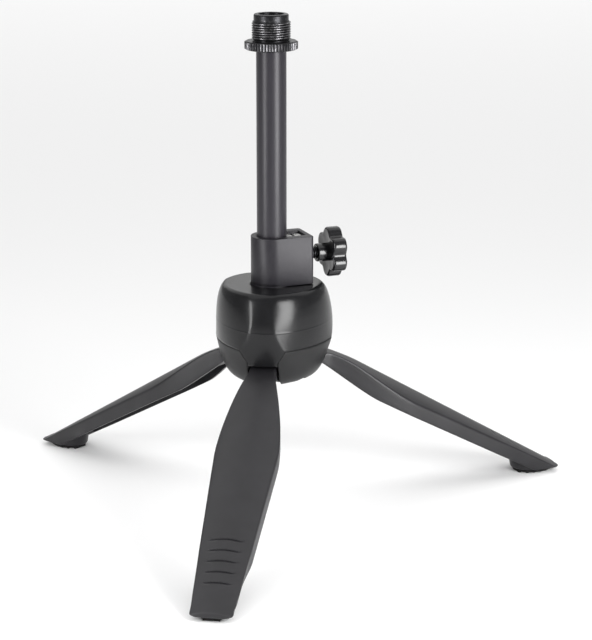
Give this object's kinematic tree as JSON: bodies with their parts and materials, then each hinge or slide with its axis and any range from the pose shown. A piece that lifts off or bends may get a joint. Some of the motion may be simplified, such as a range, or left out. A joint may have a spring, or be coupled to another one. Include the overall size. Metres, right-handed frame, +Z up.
{
  "type": "desktop tripod stand",
  "caption": "Folding desktop tripod stand: arched legs on a domed hub, a sliding tube held by a star knob clamp, and a threaded microphone adapter on top.",
  "frame": {"origin": "middle of the object's box on the floor that its feet stand on; the tube's axis is 29.9 mm from it towards -X", "axes": "+Z up along the tube; +X along the leg under the clamp knob; +Y across, towards the left leg"},
  "size_m": [0.2062, 0.2372, 0.2077],
  "materials": {
    "hub_upper_plastic": "black, satin gloss",
    "hub_lower_plastic": "black, satin gloss",
    "collar_paint": "satin charcoal paint",
    "ring_plastic": "black, matt",
    "nut_zinc": "bright zinc",
    "clamp_zinc": "dull zinc",
    "knob_plastic": "black, glossy",
    "stud_steel": "blackened steel",
    "tube_paint": "satin charcoal paint",
    "stop_nylon": "dark nylon",
    "adapter_steel": "blackened steel, edges worn bright",
    "screw_steel": "blackened steel",
    "leg_plastic": "black, finely grained",
    "pin_steel": "plain steel",
    "pad_rubber": "black, matt"
  },
  "bodies": {
    "hub": {"hub_upper_shell": "hub_upper_plastic", "hub_lower_shell": "hub_lower_plastic", "clamp_collar": "collar_paint", "collar_lock_ring": "ring_plastic", "clamp_nut": "nut_zinc", "hub_screw_1": "screw_steel", "hub_screw_2": "screw_steel", "hub_screw_3": "screw_steel", "right_leg_pin": "pin_steel", "left_leg_pin": "pin_steel", "front_leg_pin": "pin_steel"},
    "right_leg": {"right_leg": "leg_plastic", "right_foot_pad": "pad_rubber"},
    "left_leg": {"left_leg": "leg_plastic", "left_foot_pad": "pad_rubber"},
    "front_leg": {"front_leg": "leg_plastic", "front_foot_pad": "pad_rubber"},
    "clamp_pad": {"clamp_pad": "clamp_zinc"},
    "thumbscrew": {"thumbscrew_knob": "knob_plastic", "thumbscrew_stud": "stud_steel"},
    "tube_stop": {"tube_stop": "stop_nylon"},
    "mast": {"centre_tube": "tube_paint", "mic_thread_adapter": "adapter_steel"}
  },
  "joints": [
    {"name": "right_leg_fold", "type": "hinge", "parent": "hub", "child": "right_leg", "pos_m": [-0.01372, 0, 0.0622], "axis": [0, 1, 0], "range_deg": [0, 60]},
    {"name": "left_leg_fold", "type": "hinge", "parent": "hub", "child": "left_leg", "pos_m": [-0.03802, 0.01403, 0.0622], "axis": [-0.866, -0.5, 0], "range_deg": [0, 60]},
    {"name": "front_leg_fold", "type": "hinge", "parent": "hub", "child": "front_leg", "pos_m": [-0.03802, -0.01403, 0.0622], "axis": [0.866, -0.5, 0], "range_deg": [0, 60]},
    {"name": "clamp_pad_travel", "type": "slide", "parent": "hub", "child": "clamp_pad", "axis": [1, 0, 0], "range_m": [0, 0.0008]},
    {"name": "thumbscrew_turn", "type": "hinge", "parent": "clamp_pad", "child": "thumbscrew", "pos_m": [-0.02992, 0, 0.1075], "axis": [1, 0, 0], "range_deg": [0, 360]},
    {"name": "mast_slide", "type": "slide", "parent": "hub", "child": "tube_stop", "axis": [0, 0, 1], "range_m": [-0.0765, 0]},
    {"name": "mast_turn", "type": "hinge", "parent": "tube_stop", "child": "mast", "pos_m": [-0.02992, 0, 0], "axis": [0, 0, 1], "continuous": true}
  ],
  "couplings": [
    {"joint": "clamp_pad_travel", "follows": "thumbscrew_turn", "m_per_rad": 0.00012732}
  ]
}
